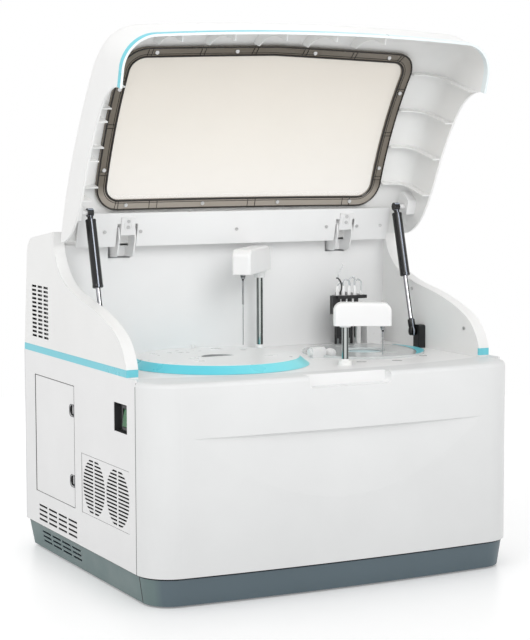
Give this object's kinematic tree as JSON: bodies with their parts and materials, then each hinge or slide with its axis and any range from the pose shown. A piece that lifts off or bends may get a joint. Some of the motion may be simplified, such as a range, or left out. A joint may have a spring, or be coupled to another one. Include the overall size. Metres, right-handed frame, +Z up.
{
  "type": "benchtop chemistry analyzer",
  "caption": "Bench instrument with a front-hinged deck lid on gas struts, over a covered reagent disc, a reaction disc, pipetting arms and a wash station",
  "frame": {"origin": "on the bench, under the middle of the housing", "axes": "+X to the right of the front, +Y to the back, +Z up; the lid is open at rest"},
  "size_m": [0.69, 0.58, 0.9304],
  "materials": {
    "housing_white": "smooth satin plastic",
    "panel_white": "fine powder coat",
    "rear_grey": "fine powder coat",
    "deck_white": "satin paint",
    "skirt_blue_grey": "satin plastic",
    "stripe_cyan": "glossy coloured plastic",
    "frame_steel": "plain paint",
    "foot_rubber": "moulded rubber",
    "screw_steel": "plain steel",
    "black_plastic": "moulded black plastic",
    "hinge_metal": "light grey paint",
    "rocker_green": "glossy green plastic",
    "window_smoke": "smoked clear plastic",
    "gasket_dark": "dark rubber",
    "bar_white": "satin paint",
    "strut_black": "glossy black paint",
    "strut_rod_steel": "ground bright steel",
    "bowl_grey": "smooth grey plastic",
    "cover_white": "satin plastic",
    "carousel_blue": "smooth blue-grey plastic",
    "cuvette_cyan": "smooth blue-green plastic",
    "ring_clear": "clear plastic",
    "column_steel": "ground steel",
    "arm_white": "glossy white plastic",
    "drive_grey": "cast metal",
    "tube_clear": "thin clear tube",
    "fitting_white": "smooth plastic",
    "tray_grey": "moulded plastic",
    "supply_grey": "folded sheet look",
    "board_green": "coated board"
  },
  "bodies": {
    "housing": {"front_cover": "housing_white", "right_wing": "housing_white", "left_wing": "housing_white", "top_rear_cover": "housing_white", "right_side_panel": "panel_white", "left_side_panel": "panel_white", "fan_grille_panel": "panel_white", "rear_panel": "rear_grey", "deck_panel": "deck_white", "back_wall": "deck_white", "base_skirt": "skirt_blue_grey", "side_stripes": "stripe_cyan", "chassis_frame": "frame_steel", "base_pan": "frame_steel", "levelling_feet": "foot_rubber", "wing_screws": "screw_steel", "hinge_pins": "screw_steel", "fan_housings": "black_plastic", "switch_bezel": "black_plastic", "strut_lower_brackets": "black_plastic", "wash_tower": "black_plastic", "mains_inlet": "black_plastic", "hinge_brackets": "hinge_metal", "door_hinges": "hinge_metal", "disc_bowls": "bowl_grey", "reaction_cover": "ring_clear", "drive_units": "drive_grey", "syringe_pumps": "drive_grey", "deck_fittings": "fitting_white", "fluid_port_tray": "tray_grey", "power_supply": "supply_grey", "control_board": "board_green"},
    "lid": {"lid_shell": "housing_white", "lid_trim_stripe": "stripe_cyan", "lid_inner_bar": "bar_white", "window_pane": "window_smoke", "window_gasket": "gasket_dark", "lid_screws": "screw_steel", "lid_hinge_plates": "hinge_metal", "strut_upper_brackets": "hinge_metal"},
    "left_rod": {"left_strut_rod": "strut_rod_steel"},
    "left_tube": {"left_strut_tube": "strut_black"},
    "right_rod": {"right_strut_rod": "strut_rod_steel"},
    "right_tube": {"right_strut_tube": "strut_black"},
    "disc_cover": {"reagent_cover": "cover_white"},
    "carousel": {"reagent_carousel": "carousel_blue"},
    "cuvettes": {"reaction_disc": "cuvette_cyan"},
    "left_lift": {"left_arm_column": "column_steel"},
    "left_swing": {"left_arm_head": "arm_white", "left_probe": "column_steel"},
    "right_lift": {"right_arm_column": "column_steel"},
    "right_swing": {"right_arm_head": "arm_white", "right_probe": "column_steel"},
    "washer": {"wash_head": "black_plastic", "wash_needles": "column_steel", "wash_tubes": "tube_clear"},
    "fan_1": {"fan_rotor_1": "black_plastic"},
    "fan_2": {"fan_rotor_2": "black_plastic"},
    "door": {"side_door": "panel_white"},
    "rocker": {"power_rocker": "rocker_green"}
  },
  "joints": [
    {"name": "lid_hinge", "type": "hinge", "parent": "housing", "child": "lid", "pos_m": [0, 0.12, 0.578], "axis": [1, 0, 0], "range_deg": [0, 74]},
    {"name": "left_strut_swing", "type": "hinge", "parent": "housing", "child": "left_rod", "pos_m": [-0.305, 0, 0.388], "axis": [1, 0, 0], "range_deg": [-11, 1]},
    {"name": "left_strut_slide", "type": "slide", "parent": "left_rod", "child": "left_tube", "axis": [0, 0.261, 0.9653], "range_m": [-0.0765, 0.0005]},
    {"name": "right_strut_swing", "type": "hinge", "parent": "housing", "child": "right_rod", "pos_m": [0.305, 0, 0.388], "axis": [1, 0, 0], "range_deg": [-11, 1]},
    {"name": "right_strut_slide", "type": "slide", "parent": "right_rod", "child": "right_tube", "axis": [0, 0.261, 0.9653], "range_m": [-0.0765, 0.0005]},
    {"name": "cover_lift", "type": "slide", "parent": "housing", "child": "disc_cover", "axis": [0, 0, 1], "range_m": [0, 0.1]},
    {"name": "carousel_spin", "type": "hinge", "parent": "housing", "child": "carousel", "pos_m": [-0.12, -0.055, 0.3], "axis": [0, 0, 1], "continuous": true},
    {"name": "cuvette_spin", "type": "hinge", "parent": "housing", "child": "cuvettes", "pos_m": [0.187, -0.022, 0.3], "axis": [0, 0, 1], "continuous": true},
    {"name": "left_arm_lift", "type": "slide", "parent": "housing", "child": "left_lift", "axis": [0, 0, 1], "range_m": [-0.06, 0]},
    {"name": "left_arm_swing", "type": "hinge", "parent": "left_lift", "child": "left_swing", "pos_m": [0.0405, 0.1015, 0.5], "axis": [0, 0, 1], "range_deg": [0, 98]},
    {"name": "right_arm_lift", "type": "slide", "parent": "housing", "child": "right_lift", "axis": [0, 0, 1], "range_m": [-0.012, 0.02]},
    {"name": "right_arm_swing", "type": "hinge", "parent": "right_lift", "child": "right_swing", "pos_m": [0.064, -0.172, 0.44], "axis": [0, 0, 1], "range_deg": [-10, 90]},
    {"name": "wash_lift", "type": "slide", "parent": "housing", "child": "washer", "axis": [0, 0, 1], "range_m": [-0.013, 0]},
    {"name": "fan_1_spin", "type": "hinge", "parent": "housing", "child": "fan_1", "pos_m": [-0.33, -0.147, 0.16], "axis": [1, 0, 0], "continuous": true},
    {"name": "fan_2_spin", "type": "hinge", "parent": "housing", "child": "fan_2", "pos_m": [-0.33, -0.044, 0.16], "axis": [1, 0, 0], "continuous": true},
    {"name": "door_hinge", "type": "hinge", "parent": "housing", "child": "door", "pos_m": [-0.3385, 0.0585, 0.215], "axis": [0, 0, 1], "range_deg": [0, 95]},
    {"name": "rocker_tilt", "type": "hinge", "parent": "housing", "child": "rocker", "pos_m": [-0.3372, -0.169, 0.2935], "axis": [0, 1, 0], "range_deg": [-16, 0]}
  ],
  "couplings": [
    {"joint": "left_strut_swing", "follows": "lid_hinge", "ratio": -0.142},
    {"joint": "left_strut_slide", "follows": "lid_hinge", "m_per_rad": -0.0585},
    {"joint": "right_strut_swing", "follows": "lid_hinge", "ratio": -0.142},
    {"joint": "right_strut_slide", "follows": "lid_hinge", "m_per_rad": -0.0585}
  ]
}
